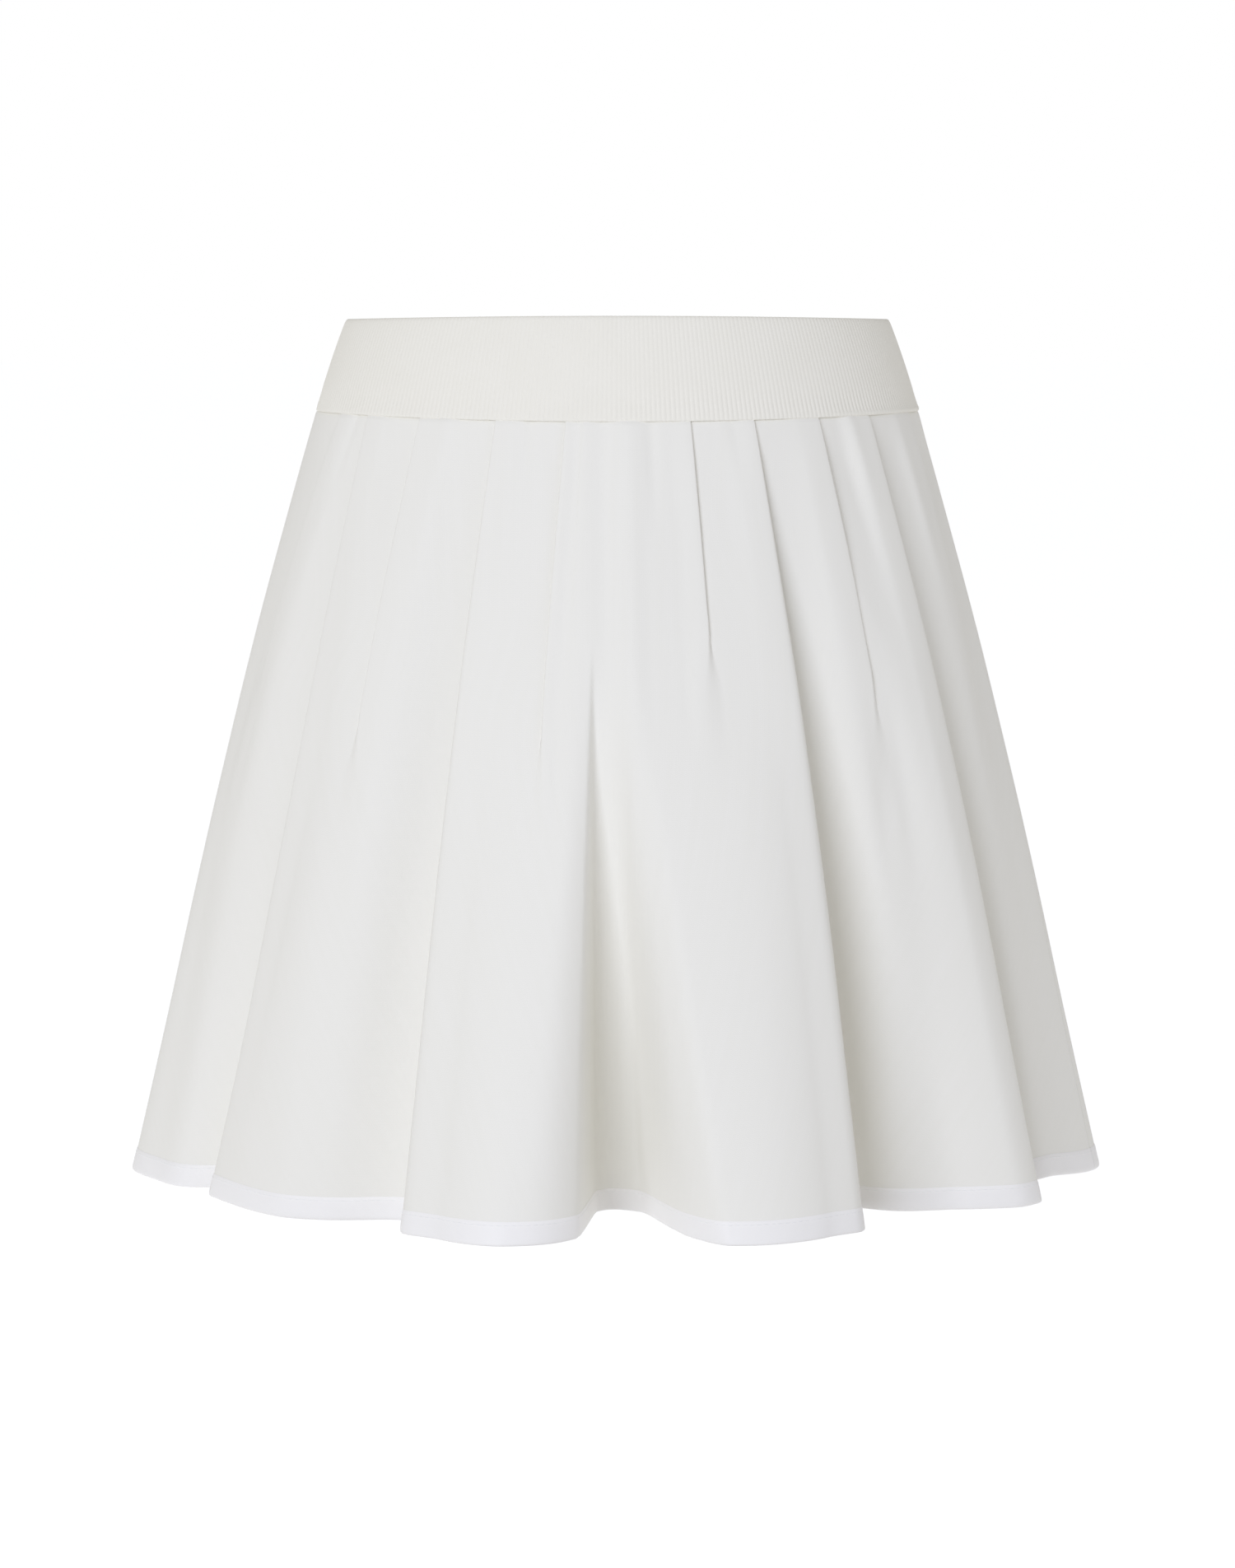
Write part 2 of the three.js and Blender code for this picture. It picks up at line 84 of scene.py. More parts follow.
# Fold edges: angle round the outline at the waist seam, MIDDLE and the hem. A pleat with "ends"
# opens out near that share of the drop, the others run to the hem with an overlap "lap". edge
# and valley are how far inside the outline the fold edge and the hollow behind it lie at the
# hem, after is the same beyond a pleat that ends, and lift raises the hem, or lowers it. layers
# is the PLEAT_STEP of a fold whose layers lie further apart than the others', and growth its
# FLUTE_GROWTH. The middle of a centre valley is at its axis, valley is its depth at the hem, and
# it starts at a share of the drop. Its floor ends at foot and the flutes' crests begin at brow,
# in pleats, where the valley starts and at the hem. shoulder says where between them the flank
# is rounded, as a share of the way, and what share of the depth is left there. crest is how far
# past the side seam the side flute stands out most, in pleats.
FRONT_RIGHT = dict(
    axis=dict(seam=-3.9, middle=-2.9, hem=-0.6), valley=88, starts=0.27, foot=(0.03, 0.28),
    brow=(0.36, 0.86), shoulder=(0.62, 0.21), crest=0.16, folds=[
        dict(seam=13.2, middle=14.3, hem=14.5, ends=0.29, edge=0, after=-2, lift=0),
        dict(seam=25.4, middle=28, hem=29.7, lap=10, edge=6, valley=76, lift=1.4),
        dict(seam=39.8, middle=43.4, hem=46, ends=0.36, edge=51, after=40, lift=-1.5, growth=1.8,
             layers=3.2),
        dict(seam=54, middle=58.6, hem=64.7, lap=8, edge=14, valley=60, lift=-1, layers=3.4),
        dict(seam=72.5, middle=77, hem=77, ends=0.3, edge=28, after=20, lift=3, layers=3.2),
    ])
FRONT_LEFT = dict(
    axis=dict(seam=3.9, middle=2.9, hem=0.6), valley=88, starts=0.27, foot=(0.03, 0.28),
    brow=(0.42, 1.0), shoulder=(0.22, 0.22), crest=0.06, folds=[
        dict(seam=9.1, middle=10.8, hem=11, ends=0.41, edge=0, after=-2, lift=0),
        dict(seam=22.5, middle=24.3, hem=26.2, lap=10, edge=12, valley=44, lift=0),
        dict(seam=39, middle=41.5, hem=44.5, ends=0.4, edge=30, after=24, lift=-1.5, growth=2.4),
        dict(seam=53.5, middle=55, hem=66.8, lap=8, edge=25, valley=44, lift=0),
        dict(seam=64, middle=76, hem=77, ends=0.3, edge=20, after=12, lift=0),
    ])
BACK_RIGHT = dict(
    axis=dict(seam=1.5, middle=1.2, hem=1), valley=70, starts=0.3, foot=(0.02, 0.2),
    brow=(0.4, 0.86), shoulder=(0.58, 0.24), crest=-0.16, folds=[
        dict(seam=11.5, middle=13, hem=13.5, ends=0.33, edge=0, after=-2, lift=0),
        dict(seam=24, middle=26, hem=27.5, lap=8, edge=12, valley=50, lift=0),
        dict(seam=40, middle=41.5, hem=43, ends=0.38, edge=30, after=20, lift=1, growth=2.4),
        dict(seam=54.5, middle=55, hem=59, lap=8, edge=18, valley=44, lift=1),
        dict(seam=69, middle=74, hem=75, ends=0.3, edge=9, after=4, lift=0),
    ])
BACK_LEFT = dict(
    axis=dict(seam=-1.5, middle=-1.2, hem=-1), valley=70, starts=0.3, foot=(0.02, 0.24),
    brow=(0.4, 0.84), shoulder=(0.5, 0.3), crest=-0.06, folds=[
        dict(seam=12.5, middle=13.5, hem=14, ends=0.36, edge=0, after=-3, lift=0),
        dict(seam=26, middle=27.5, hem=29, lap=9, edge=13, valley=56, lift=0),
        dict(seam=41, middle=42, hem=44, ends=0.34, edge=38, after=26, lift=1, growth=2.4),
        dict(seam=55, middle=56.5, hem=60.5, lap=8, edge=16, valley=40, lift=2),
        dict(seam=71, middle=75, hem=74, ends=0.3, edge=12, after=7, lift=0),
    ])
FRONT_RIGHT["next"], FRONT_LEFT["next"] = BACK_RIGHT, BACK_LEFT
BACK_RIGHT["next"], BACK_LEFT["next"] = FRONT_RIGHT, FRONT_LEFT

# Soft creases in the knit, along the drop. top and low are places in pleats at the crease's two
# ends, starts and ends are shares of the drop, wide is half its width and lift its height in mm,
# below zero for a trough.
CREASES = [
    dict(top=0.07, low=0.08, starts=-0.2, ends=0.45, wide=5, lift=-1.3),
    dict(top=0.33, low=0.30, starts=-0.2, ends=0.7, wide=5, lift=1.3),
    dict(top=0.56, low=0.56, starts=-0.15, ends=0.17, wide=3, lift=-1.0),
    dict(top=1.7, low=1.72, starts=-0.1, ends=0.12, wide=3.5, lift=-0.8),
    dict(top=-1.55, low=-1.6, starts=-0.12, ends=0.09, wide=3.5, lift=-1.1),
    dict(top=-2.35, low=-2.4, starts=0.04, ends=0.3, wide=6, lift=-0.7),
    dict(top=-2.6, low=-2.65, starts=-0.15, ends=0.26, wide=5, lift=1.0),
    dict(top=-4.55, low=-4.7, starts=-0.1, ends=0.14, wide=3, lift=-0.9),
    dict(top=3.55, low=3.7, starts=-0.08, ends=0.14, wide=3.5, lift=0.9),
    dict(top=3.15, low=3.6, starts=0.1, ends=0.66, wide=12, lift=3.0),
    dict(top=3.35, low=3.5, starts=-0.04, ends=0.22, wide=4, lift=-0.9),
    dict(top=4.6, low=4.7, starts=-0.04, ends=0.24, wide=4, lift=0.8),
    dict(top=-3.5, low=-3.45, starts=0.05, ends=0.5, wide=10, lift=1.0),
    dict(top=8.4, low=8.4, starts=-0.2, ends=0.3, wide=6, lift=-1.3),
    dict(top=9.6, low=9.5, starts=-0.1, ends=0.45, wide=8, lift=0.9),
    dict(top=10.6, low=10.7, starts=-0.1, ends=0.5, wide=6, lift=0.9),
    dict(top=-8.5, low=-8.6, starts=-0.15, ends=0.25, wide=5, lift=-1.1),
    dict(top=-9.6, low=-9.6, starts=0.0, ends=0.5, wide=9, lift=1.1),
    dict(top=-10.5, low=-10.6, starts=-0.2, ends=0.2, wide=4, lift=-1.1),
]

MM = 0.001


def smooth(x, low, high):
    t = np.clip((x - low) / (high - low), 0, 1)
    return t * t * (3 - 2 * t)


def mix(a, b, share):
    return a + (b - a) * share


def hermite(xs, ys, slopes, x):
    """A smooth curve through knots with the slopes given."""
    x = np.asarray(x, float)
    i = np.clip(np.searchsorted(xs, x, side="left") - 1, 0, len(xs) - 2)
    width = xs[i + 1] - xs[i]
    u = (x - xs[i]) / width
    return (mix(ys[i], ys[i + 1], u * u * (3 - 2 * u))
            + width * u * (1 - u) * (slopes[i] * (1 - u) - slopes[i + 1] * u))


def tangents(xs, ys):
    """Slopes that keep the curve's direction at both ends."""
    low = np.maximum(np.arange(len(xs)) - 1, 0)
    high = np.minimum(np.arange(len(xs)) + 1, len(xs) - 1)
    return (ys[high] - ys[low]) / (xs[high] - xs[low])


def level_curve(knots, x):
    """A curve that never overshoots its knots (x, y, flat): level at the ends and where flat."""
    xs, ys, flat = (np.array(column, float) for column in zip(*knots))
    rise = np.diff(ys) / np.diff(xs)
    slopes = np.zeros(len(xs))
    before, after = rise[:-1], rise[1:]
    agree = before * after > 0
    slopes[1:-1][agree] = (2 * before * after)[agree] / (before + after)[agree]
    return hermite(xs, ys, slopes * (1 - flat), x)


def outline(z):
    """Half width and half depth of the filled skirt at a height."""
    drops, widths, depths = OUTLINE.T
    drop = np.clip(-np.asarray(z, float), 0, HEM_DROP)
    return (hermite(drops, widths, tangents(drops, widths), drop),
            hermite(drops, depths, tangents(drops, depths), drop))


def along_drop(fold, share):
    """A fold edge's angle, on one parabola through its three places."""
    return math.radians(
        fold["seam"] * (share - MIDDLE) * (share - 1) / MIDDLE
        - fold["middle"] * share * (share - 1) / (MIDDLE * (1 - MIDDLE))
        + fold["hem"] * share * (share - MIDDLE) / (1 - MIDDLE))


def draw_back(tau):
    """How cloth is drawn back along itself through a fold, tau from -1 to 1."""
    angle = math.pi * np.clip(tau, -1, 1)
    return np.sin(angle) * (1 + np.cos(angle)) / 2


def fold_at(fold, share, per_pleat):
    """One fold at a share of the drop: its layers, how far it is drawn back, and its turns."""
    eased = float(smooth(share, 0, SEAM_SOFTENS))
    layers = mix(PRESSED_STEP, fold.get("layers", PLEAT_STEP), eased)
    grown = share ** fold.get("growth", FLUTE_GROWTH)
    top = fold["edge"] * grown
    if "ends" in fold:
        flat = 1 - smooth(share, fold["ends"] + OPENS_FROM, fold["ends"] + OPENED_BY)
        step = layers * flat + (fold["after"] - fold["edge"]) * grown
        lap = PLEAT_LAP
        closed = 1 - smooth(share, fold["ends"] - CLOSES_FROM, fold["ends"] + CLOSED_BY)
    else:
        step = mix(layers, fold["valley"] - fold["edge"], grown)
        flat = 1 - smooth(step, layers + 1, layers + OPEN_STEP)
        lap = mix(PLEAT_LAP, fold["lap"], share)
        closed = 1
    reach = PLEAT_REACH * per_pleat
    drawn = closed * (lap / 2 + reach / 4) / EDGE_DRAWN
    narrowest, widest = TURN_SIZES
    turn_at, turn = 0.0, widest
    if drawn > 0:
        cosine = (math.sqrt(9 + 16 * reach / (math.pi * drawn)) - 1) / 4
        turn_at = math.acos(cosine) / math.pi if cosine < 1 else 0.0
        turn = min(max(TURN_GROWTH * math.sqrt(abs(step) / drawn), narrowest), widest)
    overhang = drawn * float(draw_back(turn_at)) - reach * turn_at
    return dict(top=top, step=step, flat=float(flat), drawn=drawn, turn_at=turn_at, turn=turn,
                overhang=overhang)


def section(quarter, share):
    """Everything about one quarter of the skirt at a share of the drop."""
    folds, down = quarter["folds"], min(max(share, 0.0), 1.0)
    half_width, half_depth = outline(mix(-WAIST_SEAM_DROP, -HEM_DROP, share))
    started = min(max((down - quarter["starts"]) / (1 - quarter["starts"]), 0.0), 1.0)
    beyond = quarter["next"]["folds"][-1]
    mirrored = CENTRE_BACK - len(folds)
    counts = np.array([0, *range(1, len(folds) + 1), SIDE_SEAM, mirrored], float)
    angles = np.array([along_drop(quarter["axis"], down), *(along_drop(f, down) for f in folds),
                       math.pi / 2, math.pi - along_drop(beyond, down)])
    turning = tangents(counts, angles)

    def state(fold, i):
        arc = math.hypot(half_width * math.cos(angles[i]), half_depth * math.sin(angles[i]))
        return fold_at(fold, down, turning[i] * arc)

    states = [state(fold, i + 1) for i, fold in enumerate(folds)]
    last = state(beyond, len(counts) - 1)
    floor, half = quarter["valley"] * started ** VALLEY_GROWTH, PLEAT_REACH / 2
    foot, brow = mix(*quarter["foot"], started), mix(*quarter["brow"], started)
    way, left = quarter["shoulder"]
    insets = [(0, floor, 0), (foot, FLOOR_FLATNESS * floor, 0),
              (mix(foot, brow, way), left * floor, 0)]
    for i, s in enumerate(states):
        insets.append((brow if i == 0 else i + 1 - half, s["top"], s["flat"]))
        insets.append((i + 1 + half, s["top"] + s["step"], s["flat"]))
    insets.append((SIDE_SEAM + quarter["crest"], 0, 0))
    insets.append((mirrored - half, last["top"] + last["step"], last["flat"]))
    insets.append((mirrored + half, last["top"], last["flat"]))
    lifts = [(0, 0, 0)]
    lifts += [(i + 1, fold["lift"] * down ** FLUTE_GROWTH, 0) for i, fold in enumerate(folds)]
    lifts.append((SIDE_SEAM, 0, 0))
    return dict(share=share, counts=counts, angles=angles, turning=turning, states=states,
                insets=insets, lifts=lifts)


def quarter_points(sec, u):
    """Points of the cloth's middle, u pleats from the quarter's centre line: x, depth, z."""
    share = sec["share"]
    angle = hermite(sec["counts"], sec["angles"], sec["turning"], u)
    inset = level_curve(sec["insets"], u)
    tucked = TUCKED_IN * (1 - smooth(share, -TUCKED_UP / DROP / 2, TUCKED_FROM / DROP))
    half_width, half_depth = outline(mix(-WAIST_SEAM_DROP, -HEM_DROP, share))
    arc = np.hypot(half_width * np.cos(angle), half_depth * np.sin(angle))
    for i, s in enumerate(sec["states"]):
        tau = (u - i - 1) / PLEAT_REACH
        hold = np.where(abs(tau) < EDGE_HOLD, (1 + np.cos(math.pi * tau / EDGE_HOLD)) / 2, 0)
        angle = angle - (s["drawn"] * draw_back(tau) + s["overhang"] * hold) / arc
        stepped = (smooth(tau, -s["turn_at"] - s["turn"], -s["turn_at"] + s["turn"])
                   + smooth(tau, s["turn_at"] - s["turn"], s["turn_at"] + s["turn"])) / 2
        near = smooth(-abs(tau), -FOLD_FADES[1], -FOLD_FADES[0])
        inset = mix(inset, s["top"] + s["step"] * stepped, s["flat"] * near)
    seam_z = -WAIST_SEAM_DROP + SEAM_SIDE_RISE * np.sin(angle) ** 2
    z = mix(seam_z, -HEM_DROP + level_curve(sec["lifts"], u), share)
    half_width, half_depth = outline(z)
    across, along = half_depth * np.sin(angle), half_width * np.cos(angle)
    length = np.hypot(across, along)
    inset = inset + tucked
    return (half_width * np.sin(angle) - inset * across / length,
            half_depth * np.cos(angle) - inset * along / length, z)


# Columns of the cloth in one pleat: how many between the fold's outer flats, its two turns and
# the layer between them.
FLAT_COLUMNS, TURN_COLUMNS, INNER_COLUMNS, VALLEY_COLUMNS = 8, 4, 5, 32
# Where those parts meet, in PLEAT_REACHes from the fold's middle, in open cloth. In a fold that
# is drawn back by SHUT_DRAWN or more they follow its turns: the first two come no nearer to the
# middle than SHUT_LIMITS, and the third goes no further out.
OPEN_MARKS = 0.14, 0.28, 0.42
SHUT_LIMITS = 0.03, 0.07, 0.62
SHUT_DRAWN = 6


def fold_columns(sec, i):
    """Places across one pleat, in pleats from its middle, close together where it turns."""
    s = sec["states"][i]
    shut = min(s["drawn"] / SHUT_DRAWN, 1)
    inner = mix(OPEN_MARKS[0], max(s["turn_at"] - s["turn"], SHUT_LIMITS[0]), shut)
    middle = mix(OPEN_MARKS[1], max(s["turn_at"], SHUT_LIMITS[1]), shut)
    outer = mix(OPEN_MARKS[2], min(s["turn_at"] + s["turn"], SHUT_LIMITS[2]), shut)
    marks = [inner, middle, outer, 0.5 / PLEAT_REACH]
    steps = [TURN_COLUMNS, TURN_COLUMNS, FLAT_COLUMNS]
    half = [np.linspace(a, b, n + 1)[1:] for a, b, n in zip(marks, marks[1:], steps)]
    half = np.concatenate([[inner], *half])
    between = np.linspace(-inner, inner, INNER_COLUMNS + 1)[1:-1]
    return np.concatenate([-half[::-1], between, half]) * PLEAT_REACH


def half_panel(quarter, share, side_gap):
    """The cloth of one quarter at a share: places in pleats from the centre line, and points."""
    sec = section(quarter, share)
    places = [np.linspace(0, 0.5, VALLEY_COLUMNS // 2 + 1)]
    for i in range(len(sec["states"])):
        places.append(i + 1 + fold_columns(sec, i)[1:])
    u = np.concatenate(places)
    u = u * (SIDE_SEAM - side_gap) / SIDE_SEAM if side_gap else u
    return u, quarter_points(sec, u)


def row_of_cloth(side, share, side_gap):
    """One row round the front or the back, from one side seam to the other, faces out."""
    right, left = (FRONT_RIGHT, FRONT_LEFT) if side == "front" else (BACK_RIGHT, BACK_LEFT)
    rights, (rx, rd, rz) = half_panel(right, share, side_gap)
    lefts, (lx, ld, lz) = half_panel(left, share, side_gap)
    places = np.concatenate([-lefts[:0:-1], rights])
    x = np.concatenate([-lx[:0:-1], rx])
    depth = np.concatenate([ld[:0:-1], rd])
    z = np.concatenate([lz[:0:-1], rz])
    if side == "front":
        return places, np.stack([x, -depth, z], 1)
    places = np.where(places >= 0, CENTRE_BACK - places, -CENTRE_BACK - places)
    return places[::-1], np.stack([x, depth, z], 1)[::-1]


def outward(points):
    """Level directions straight out of each row of cloth."""
    along = np.gradient(points, axis=1)
    out = np.stack([along[..., 1], -along[..., 0], np.zeros(along.shape[:2])], -1)
    return out / np.linalg.norm(out, axis=-1, keepdims=True)


def cloth(side, shares, side_gap):
    """Rows of the cloth with its creases: places, points, outward directions and mm along."""
    rows = [row_of_cloth(side, share, side_gap) for share in shares]
    places = np.array([row[0] for row in rows])
    points = np.array([row[1] for row in rows])
    steps = np.linalg.norm(np.diff(points, axis=1), axis=-1)
    along = np.concatenate([np.zeros((len(rows), 1)), np.cumsum(steps, 1)], 1)
    along -= along[:, [along.shape[1] // 2]]
    raised = np.zeros(places.shape)
    for crease in CREASES:
        t = (np.asarray(shares) - crease["starts"]) / (crease["ends"] - crease["starts"])
        strength = np.where((t > 0) & (t < 1), np.sin(math.pi * np.clip(t, 0, 1)) ** 1.5, 0)
        for j in np.flatnonzero(strength):
            centre = mix(crease["top"], crease["low"], t[j])
            order = np.argsort(places[j])
            if not places[j][order[0]] < centre < places[j][order[-1]]:
                continue
            at = np.interp(centre, places[j][order], along[j][order])
            raised[j] += crease["lift"] * strength[j] * np.exp(
                -((along[j] - at) / crease["wide"]) ** 2)
    points = points + outward(points) * raised[..., None]
    return places, points, outward(points), along


CORNER = 60  # faces that meet at a larger angle, in degrees, make an edge, as at a side seam


def mesh_piece(name, points, faces, uvs):
    """A mesh object from points in mm, with smooth faces and one uv for each point, in mm."""
    mesh = bpy.data.meshes.new(name)
    mesh.from_pydata((np.asarray(points) * MM).tolist(), [], np.asarray(faces).tolist())
    mesh.polygons.foreach_set("use_smooth", np.ones(len(mesh.polygons), bool))
    corners = np.zeros(len(mesh.loops), np.int64)
    mesh.loops.foreach_get("vertex_index", corners)
    layer = mesh.uv_layers.new(name="cloth")
    layer.data.foreach_set("uv", (np.asarray(uvs)[corners] * MM).ravel())
    mesh.update()
    mesh.set_sharp_from_angle(angle=math.radians(CORNER))
    piece = bpy.data.objects.new(name, mesh)
    bpy.context.collection.objects.link(piece)
    return piece


def loft(name, loops, uvs, closed_row):
    """A closed shell through loops of points (loop, place round, xyz) that go round a section.
    The last loop joins the first, and unless the rows are rings their ends are closed."""
    count, across = loops.shape[:2]
    index = np.arange(count * across).reshape(count, across)
    down = np.roll(index, -1, axis=0)
    if closed_row:
        nearer, further = index, np.roll(index, -1, axis=1)
        below, beyond = down, np.roll(down, -1, axis=1)
    else:
        nearer, further, below, beyond = index[:, :-1], index[:, 1:], down[:, :-1], down[:, 1:]
    faces = [np.stack([nearer, below, beyond, further], -1).reshape(-1, 4)]
    if not closed_row:
        half = count // 2
        start, end = index[:, 0], index[:, -1]
        for edge, turned in ((start, False), (end, True)):
            outer, inner = edge[:half], edge[::-1][:half]
            quads = np.stack([outer[:-1], inner[:-1], inner[1:], outer[1:]], -1)
            faces.append(quads[:, ::-1] if turned else quads)
    return mesh_piece(name, loops.reshape(-1, 3), np.concatenate(faces), uvs.reshape(-1, 2))


def shell(name, points, out, along, shares, wall):
    """A wall of cloth on its middle surface: rows down the outside, then up the inside."""
    loops = np.concatenate([points + out * wall / 2, (points - out * wall / 2)[::-1]])
    drop = np.repeat((np.asarray(shares) * DROP)[:, None], points.shape[1], 1)
    uvs = np.stack([along, -drop], -1)
    return loft(name, loops, np.concatenate([uvs, uvs[::-1]]), closed_row=False)


PANEL_ROWS = 96
SEAM_ROWS_END = 0.012  # rows are closer together above this share of the drop
SIDE_GAP = 0.001       # each panel stops this far short of the side seam, in pleats
EDGE_IN_BINDING = 1.5  # the panel's lower edge lies this far above the binding's, in mm
panel_shares = np.concatenate([
    np.linspace(-TUCKED_UP / DROP, 0, 6), np.linspace(0, SEAM_ROWS_END, 5)[1:],
    np.linspace(SEAM_ROWS_END, 1 - EDGE_IN_BINDING / DROP, PANEL_ROWS - 8)[1:]])


def linear(hexadecimal):
    """A colour from its sRGB hex value."""
    parts = [int(hexadecimal[i:i + 2], 16) / 255 for i in (1, 3, 5)]
    return (*(c / 12.92 if c <= 0.04045 else ((c + 0.055) / 1.055) ** 2.4 for c in parts), 1)


def node(tree, kind, inputs=None, **settings):
    """Adds a node with its settings, and its inputs as values or links."""
    made = tree.nodes.new(kind)
    for name, value in settings.items():
        setattr(made, name, value)
    for key, value in (inputs or {}).items():
        if isinstance(value, bpy.types.NodeSocket):
            tree.links.new(value, made.inputs[key])
        else:
            made.inputs[key].default_value = value
    return made


def new_material(name):
    made = bpy.data.materials.new(name)
    made.use_nodes = True
    made.node_tree.nodes.clear()
    return made, made.node_tree


# Fine double knit in an ivory viscose blend, steamed flat. Its stitches are too small to see
# from a few steps, so it looks smooth and matt, with a slight bloom at grazing light.
WALE = 1.0     # one column of stitches, a little coarser than in a fine knit so that it shows
COURSE = 0.8   # one row of stitches
KNIT_STREAKS = (260, 14, 1)   # unevenness of its colour in a metre, across and down

double_knit, tree = new_material("ivory_double_knit")
place = node(tree, "ShaderNodeUVMap", uv_map="cloth")
in_stitches = node(tree, "ShaderNodeVectorMath", {0: place.outputs[0], 1: (
    1 / (WALE * MM), 1 / (COURSE * MM), 1)}, operation="MULTIPLY")
split = node(tree, "ShaderNodeSeparateXYZ", {0: in_stitches.outputs[0]})
wale = node(tree, "ShaderNodeMath", {0: split.outputs[0], 1: 1.0}, operation="PINGPONG")
leg = node(tree, "ShaderNodeMath", {0: wale.outputs[0], 1: math.pi}, operation="MULTIPLY")
ridge = node(tree, "ShaderNodeMath", {0: leg.outputs[0]}, operation="SINE")
slanted = node(tree, "ShaderNodeMath", {0: wale.outputs[0], 1: 0.6, 2: split.outputs[1]},
               operation="MULTIPLY_ADD")
course = node(tree, "ShaderNodeMath", {0: slanted.outputs[0], 1: 0.5}, operation="PINGPONG")
height = node(tree, "ShaderNodeMath", {0: ridge.outputs[0], 1: course.outputs[0]},
              operation="MULTIPLY_ADD")
tree.links.new(course.outputs[0], height.inputs[2])
unevenness = node(tree, "ShaderNodeTexNoise", {"Vector": node(
    tree, "ShaderNodeVectorMath", {0: place.outputs[0], 1: KNIT_STREAKS},
    operation="MULTIPLY").outputs[0], "Scale": 1.0, "Detail": 2.0})
colour = node(tree, "ShaderNodeMixRGB", {
    "Fac": unevenness.outputs[0], "Color1": linear("#f0eee6"), "Color2": linear("#f2f0e9")})
bump = node(tree, "ShaderNodeBump", {
    "Strength": 0.12, "Distance": 0.0001, "Height": height.outputs[0]})
surface = node(tree, "ShaderNodeBsdfPrincipled", {
    "Base Color": colour.outputs[0], "Roughness": 0.88, "IOR": 1.45,
    "Specular IOR Level": 0.25, "Sheen Weight": 0.12, "Sheen Roughness": 0.5,
    "Normal": bump.outputs[0]})
node(tree, "ShaderNodeOutputMaterial", {"Surface": surface.outputs[0]})

for side in ("front", "back"):
    places, points, out, along = cloth(side, panel_shares, SIDE_GAP)
    panel = shell(f"{side}_panel", points, out, along, panel_shares, PANEL_WALL)
    panel.data.materials.append(double_knit)
    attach(panel, "root")
    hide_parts(f"skirt_{side}")

# ---------------------------------------------------------------------------------------------
# Hem binding, front and back.
# A strip of tighter knit in a cooler white, folded in half round the panel's lower edge and sewn
# through both halves close to its top.

STITCH_LINE = 8.9        # height of the sewing above the lower edge
# Its section on one side of the panel: the strip's outside and inside, each as height above the
# lower edge and distance out of the panel's middle. The sewing pulls in a shallow groove.
BINDING_SECTION = [
    (10.5, 0.4, 10.4, 0.36), (10.3, 0.47, 10.2, 0.36), (10.0, 0.55, 9.9, 0.37),
    (9.6, 0.62, 9.6, 0.38), (9.2, 0.65, 9.2, 0.38), (8.9, 0.66, 8.9, 0.38),
    (8.6, 0.68, 8.6, 0.38), (8.1, 0.72, 8.1, 0.38), (6.9, 0.77, 6.9, 0.38),
    (5.5, 0.8, 5.5, 0.38), (4.1, 0.81, 4.1, 0.38), (2.8, 0.81, 2.9, 0.38),
    (1.6, 0.8, 2.0, 0.38), (0.8, 0.72, 1.4, 0.34), (0.3, 0.5, 1.1, 0.24), (0.08, 0.24, 1.02, 0.12),
    (0.0, 0.0, 1.0, 0.0),
]


def waviness(along, height):
    """Small waves of a sewn strip, from -1 to 1, uneven in length."""
    return (0.44 * np.sin(along / 5.3 + 0.5 * height) + 0.34 * np.sin(along / 8.9 + 1.7)
            + 0.22 * np.sin(along / 2.7 - 0.3 * height))


WAVE = 0.12              # height of the waves on the binding
WAVES_FROM = 2           # they grow to that height over this far below the binding's top


def binding_loops(side, section_points):
    """Loops along the hem at heights above the edge and distances out of the panel's middle."""
    shares = [1 - height / DROP for height, _ in section_points]
    _, points, out, along = cloth(side, shares, SIDE_GAP)
    loops = []
    for j, (height, reach) in enumerate(section_points):
        calm = WAVE * smooth(BINDING_SECTION[0][0] - height, 0, WAVES_FROM)
        ease = waviness(along[j], height)[:, None] * calm
        loops.append(points[j] + out[j] * (reach + ease))
    return np.array(loops), along


# A tighter knit than the panels', a cooler white and a little smoother. Its top edge is painted a
# shade lighter, a painted highlight for the light that falls on it from above.
HIGHLIGHT_FROM, HIGHLIGHT_FULL = 7.8, 8.8   # height on the binding over which the painted highlight sets in
BINDING_GRAIN = (1100, 1500, 1)   # stitches and, below, patches of colour in a metre, both ways
BINDING_MOTTLE = (180, 60, 1)

binding_knit, tree = new_material("white_binding_knit")
place = node(tree, "ShaderNodeUVMap", uv_map="cloth")
in_stitches = node(tree, "ShaderNodeVectorMath", {0: place.outputs[0], 1: BINDING_GRAIN},
                   operation="MULTIPLY")
ribbing = node(tree, "ShaderNodeTexNoise", {
    "Vector": in_stitches.outputs[0], "Scale": 1.0, "Detail": 1.0})
bump = node(tree, "ShaderNodeBump", {
    "Strength": 0.35, "Distance": 0.0001, "Height": ribbing.outputs[0]})
mottle = node(tree, "ShaderNodeTexNoise", {"Vector": node(
    tree, "ShaderNodeVectorMath", {0: place.outputs[0], 1: BINDING_MOTTLE},
    operation="MULTIPLY").outputs[0], "Scale": 1.0})
mottled = node(tree, "ShaderNodeMixRGB", {
    "Fac": mottle.outputs[0], "Color1": linear("#f5f3f0"), "Color2": linear("#f7f5f2")})
# Painted highlight: from these heights up, the binding's colour turns lighter, standing in for
# light from above on its top edge.
painted_highlight = node(tree, "ShaderNodeMapRange", {
    "Value": node(tree, "ShaderNodeSeparateXYZ", {0: place.outputs[0]}).outputs["Y"],
    "From Min": HIGHLIGHT_FROM * MM, "From Max": HIGHLIGHT_FULL * MM}, interpolation_type="SMOOTHSTEP")
colour = node(tree, "ShaderNodeMixRGB", {
    "Fac": painted_highlight.outputs[0], "Color1": mottled.outputs[0], "Color2": linear("#f7f5f2")})
